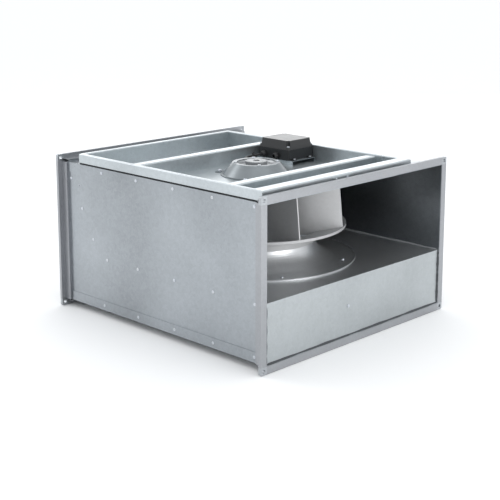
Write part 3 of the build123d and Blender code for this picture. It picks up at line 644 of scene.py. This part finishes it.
class FAN_OT_terminal_wires(bpy.types.Operator):
    """Wires from the motor lead to the clamps, and the clamp screws"""

    bl_idname = "fan.terminal_wires"
    bl_label = "Terminal wires"

    def execute(self, context):
        radius = scene_sizes().wire
        lead_x = LEAD_LOW.x + (LEAD_HIGH.z - LEAD_LOW.z) / 2
        start = Vector((lead_x, LEAD_HIGH.y - 0.003, (LEAD_LOW.z + LEAD_HIGH.z) / 2))
        first_x, pitch, ways = BLOCK_LOW.x + 0.005, 0.010, 6
        clamp_z = BLOCK_LOW.z + 0.0055
        insulation = {
            "wire_brown": (0.14, 0.055, 0.025), "wire_blue": (0.03, 0.10, 0.36),
            "wire_black": (0.02, 0.02, 0.021), "wire_earth": (0.12, 0.36, 0.05),
        }
        for i, (name, colour) in enumerate(insulation.items()):
            x = first_x + pitch * i
            spread = (i - 1.5) * 0.0024
            bend_x = lead_x + (x - lead_x) * 0.25 + spread
            points = [
                start + Vector((spread * 0.7, 0, 0)), start + Vector((spread, 0.010, 0.001)),
                Vector((bend_x, start.y + 0.020, start.z + 0.006 + 0.001 * i)),
                Vector((x + 0.001, BLOCK_LOW.y - 0.014, start.z + 0.004)),
                Vector((x, BLOCK_LOW.y - 0.004, clamp_z)), Vector((x, BLOCK_LOW.y + 0.004, clamp_z)),
            ]
            curve = bpy.data.curves.new(name, "CURVE")
            curve.dimensions = "3D"
            curve.bevel_depth, curve.bevel_resolution, curve.use_fill_caps = radius, 4, True
            curve.resolution_u = 10
            line = curve.splines.new("NURBS")
            line.points.add(len(points) - 1)
            for point, place in zip(line.points, points):
                point.co = (*place, 1)
            line.order_u, line.use_endpoint_u = 4, True
            curve.materials.append(moulded_plastic(f"{name}_sleeve", colour, 0.38, 0.00002, 1200.0))
            made = bpy.data.objects.new(name, curve)
            context.scene.collection.objects.link(made)
            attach(made, "fan_unit")

        def screws(shape):
            top, middle_y = BLOCK_HIGH.z - 0.0012, (BLOCK_LOW.y + BLOCK_HIGH.y) / 2
            profile = [(0.0021, 0), (0.0021, 0.0036), (0.0018, 0.004)]
            for i in range(ways):
                spot = Vector((first_x + pitch * i, middle_y, top - profile[-1][1]))
                turned(shape, profile, facing(spot, (0, 0, 1)), 18)

        piece("clamp_screws", screws, "fan_unit", bpy.data.materials["plated_zinc"])
        return {"FINISHED"}


# ---- studio ----
class FAN_OT_stage(bpy.types.Operator):
    """Pale floor, soft lights, surround and camera"""

    bl_idname = "fan.stage"
    bl_label = "Studio"

    def execute(self, context):
        scene, studio = context.scene, context.scene.fan_studio
        reach, floor_z = 30.0, CAD_BOX[0].z - 0.001
        centre = Vector((0, 0, studio.height))

        mesh = bpy.data.meshes.new("studio_floor")
        shape = bmesh.new()
        corners = [shape.verts.new((i * reach, j * reach, floor_z)) for i, j in (
            (-1, -1), (1, -1), (1, 1), (-1, 1))]
        shape.faces.new(corners)
        shape.to_mesh(mesh)
        shape.free()
        floor = bpy.data.objects.new("studio_floor", mesh)
        scene.collection.objects.link(floor)
        paper = Look("studio_paper")
        mesh.materials.append(paper.finished((0.93, 0.93, 0.93, 1), 0.9))

        world = bpy.data.worlds.new("studio_surround")
        world.use_nodes = True
        scene.world = world
        background = world.node_tree.nodes["Background"]
        background.inputs["Color"].default_value = (0.96, 0.98, 1.0, 1)
        background.inputs["Strength"].default_value = studio.daylight

        lamps = (
            ("key_softbox", (-2.9, -1.5, 2.2), 1.4, 1.4, 20.0),
            ("top_softbox", (0.2, 0.3, 3.0), 2.2, 2.2, 8.0),
            ("back_softbox", (-3.2, 3.3, 1.1), 5.0, 1.6, 40.0),
            ("duct_softbox", (2.9, 0.1, 0.62), 1.5, 0.9, 20.0),
        )
        for name, place, width, height, power in lamps:
            light = bpy.data.lights.new(name, "AREA")
            light.shape, light.size, light.size_y, light.energy = "RECTANGLE", width, height, power
            lamp = bpy.data.objects.new(name, light)
            lamp.location = place
            aim = centre - Vector(place)
            lamp.rotation_euler = aim.to_track_quat("-Z", "Y").to_euler()
            scene.collection.objects.link(lamp)

        a, e = studio.azimuth, studio.elevation
        right = Vector((cos(a), sin(a), 0))
        back = Vector((sin(a) * cos(e), -cos(a) * cos(e), sin(e)))
        up = back.cross(right)
        rise, aside, lens_shift = 0.1608, 0.0004, -0.15  # the shift is in picture widths
        camera_data = bpy.data.cameras.new("studio_camera")
        camera_data.lens, camera_data.sensor_width = studio.lens, 36.0
        camera_data.shift_y = lens_shift
        camera_data.clip_end = 200.0
        camera = bpy.data.objects.new("studio_camera", camera_data)
        spot = centre + back * studio.distance + up * rise - right * aside
        turn = Matrix((right, up, back)).transposed().to_4x4()
        camera.matrix_world = Matrix.Translation(spot) @ turn
        scene.collection.objects.link(camera)
        scene.camera = camera
        scene.view_settings.view_transform = "Standard"
        return {"FINISHED"}


OPERATORS = (
    FAN_OT_stage,
    FAN_OT_casing_finish,
    FAN_OT_air_path_finish,
    FAN_OT_cover_finish,
    FAN_OT_motor_finish,
    FAN_OT_electrical_finish,
    FAN_OT_sealant_beads,
    FAN_OT_blade_rivets,
    FAN_OT_lead_tie,
    FAN_OT_terminal_wires,
)


class FAN_PT_sidebar(bpy.types.Panel):
    """Lists the fan's settings and steps"""

    bl_label = "Inline Duct Fan"
    bl_idname = "FAN_PT_sidebar"
    bl_space_type = "VIEW_3D"
    bl_region_type = "UI"
    bl_category = "Duct Fan"

    def draw(self, context):
        for group in (context.scene.fan_colours, context.scene.fan_sizes, context.scene.fan_studio):
            column = self.layout.column()
            for key in group.__annotations__:
                column.prop(group, key)
        for step in OPERATORS:
            self.layout.operator(step.bl_idname)


CLASSES = (FanColours, FanSizes, FanStudio, *OPERATORS, FAN_PT_sidebar)


def register():
    for each in CLASSES:
        bpy.utils.register_class(each)
    bpy.types.Scene.fan_colours = bpy.props.PointerProperty(type=FanColours)
    bpy.types.Scene.fan_sizes = bpy.props.PointerProperty(type=FanSizes)
    bpy.types.Scene.fan_studio = bpy.props.PointerProperty(type=FanStudio)


def unregister():
    del bpy.types.Scene.fan_studio, bpy.types.Scene.fan_sizes, bpy.types.Scene.fan_colours
    for each in reversed(CLASSES):
        bpy.utils.unregister_class(each)


def main():
    register()
    for step in OPERATORS:
        group, action = step.bl_idname.split(".")
        getattr(getattr(bpy.ops, group), action)()


if __name__ == "__main__":
    main()
